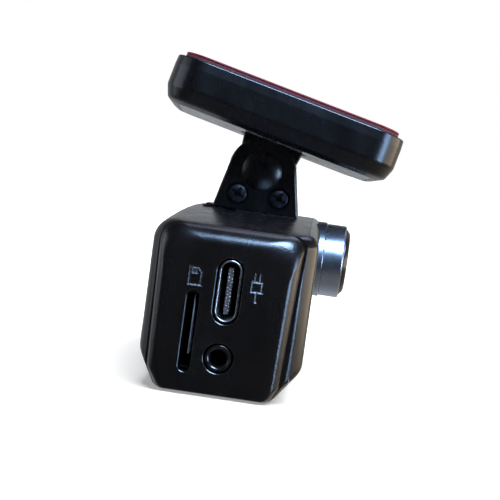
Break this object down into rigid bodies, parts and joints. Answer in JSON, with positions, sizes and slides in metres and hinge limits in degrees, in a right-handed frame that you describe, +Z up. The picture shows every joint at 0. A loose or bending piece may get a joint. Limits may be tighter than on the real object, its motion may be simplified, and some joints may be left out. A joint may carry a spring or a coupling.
{
  "type": "dash camera",
  "caption": "Bar-shaped dash camera: lens barrel in front, USB-C, card slot and AV jack at one end, clamped ball mount with an adhesive plate on top.",
  "frame": {"origin": "middle of the housing's flat underside", "axes": "+X along the housing, from the port end to the speaker end; -Y where the lens looks; +Z up"},
  "size_m": [0.078, 0.0397, 0.0497],
  "materials": {
    "housing_plastic": "fine satin moulded black",
    "gloss_plastic": "gloss black",
    "plate_plastic": "fine satin moulded black",
    "bracket_plastic": "satin black",
    "cover_plastic": "semi-gloss dark grey",
    "barrel_metal": "satin blue-grey anodised",
    "port_steel": "bright nickel",
    "screw_steel": "black oxide",
    "heat_aluminium": "milled",
    "board_laminate": "green solder mask",
    "battery_wrap": "shrink film",
    "insulator": "matt black",
    "lens_glass": "coated glass",
    "light_pipe": "clear polycarbonate",
    "adhesive_foam": "acrylic foam tape",
    "release_film": "red release film"
  },
  "bodies": {
    "housing": {"housing_shell": "housing_plastic", "front_panel": "gloss_plastic", "port_end_cap": "housing_plastic", "speaker_end_cap": "housing_plastic", "usb_c_shell": "port_steel", "usb_c_tongue": "insulator", "card_socket": "port_steel", "av_jack": "port_steel", "main_board": "board_laminate", "battery": "battery_wrap", "heat_spreader": "heat_aluminium", "tact_switch": "insulator", "speaker": "insulator", "light_pipe": "light_pipe", "lens_base_ring": "gloss_plastic", "lens_barrel": "barrel_metal", "lens_bezel": "gloss_plastic", "front_lens": "lens_glass", "lens_cell": "housing_plastic", "rear_lens": "lens_glass", "image_sensor": "insulator", "sensor_board": "board_laminate", "clamp_plate": "bracket_plastic", "socket_block": "bracket_plastic", "clamp_screw_1": "screw_steel", "clamp_screw_2": "screw_steel", "bracket_screw": "screw_steel"},
    "button": {"power_button": "housing_plastic"},
    "ball": {"ball": "bracket_plastic"},
    "stem": {"stem": "bracket_plastic"},
    "plate": {"plate_shell": "plate_plastic", "plate_cover": "cover_plastic", "adhesive_pad": "adhesive_foam", "release_film": "release_film"}
  },
  "joints": [
    {"name": "button_press", "type": "slide", "parent": "housing", "child": "button", "axis": [0, -1, 0], "range_m": [0, 0.00035], "stiffness_N_per_m": 2000, "springref_m": -0.0003},
    {"name": "ball_tilt", "type": "hinge", "parent": "housing", "child": "ball", "pos_m": [0, -0.0012, 0.0324], "axis": [1, 0, 0], "range_deg": [-50, 25]},
    {"name": "ball_roll", "type": "hinge", "parent": "ball", "child": "stem", "pos_m": [0, -0.0012, 0.0324], "axis": [0, 0.9744, 0.225], "range_deg": [-7, 2]},
    {"name": "plate_swivel", "type": "hinge", "parent": "stem", "child": "plate", "pos_m": [0, -0.0012, 0.0324], "axis": [0.0436, -0.2247, 0.9734], "range_deg": [-90, 90]}
  ]
}
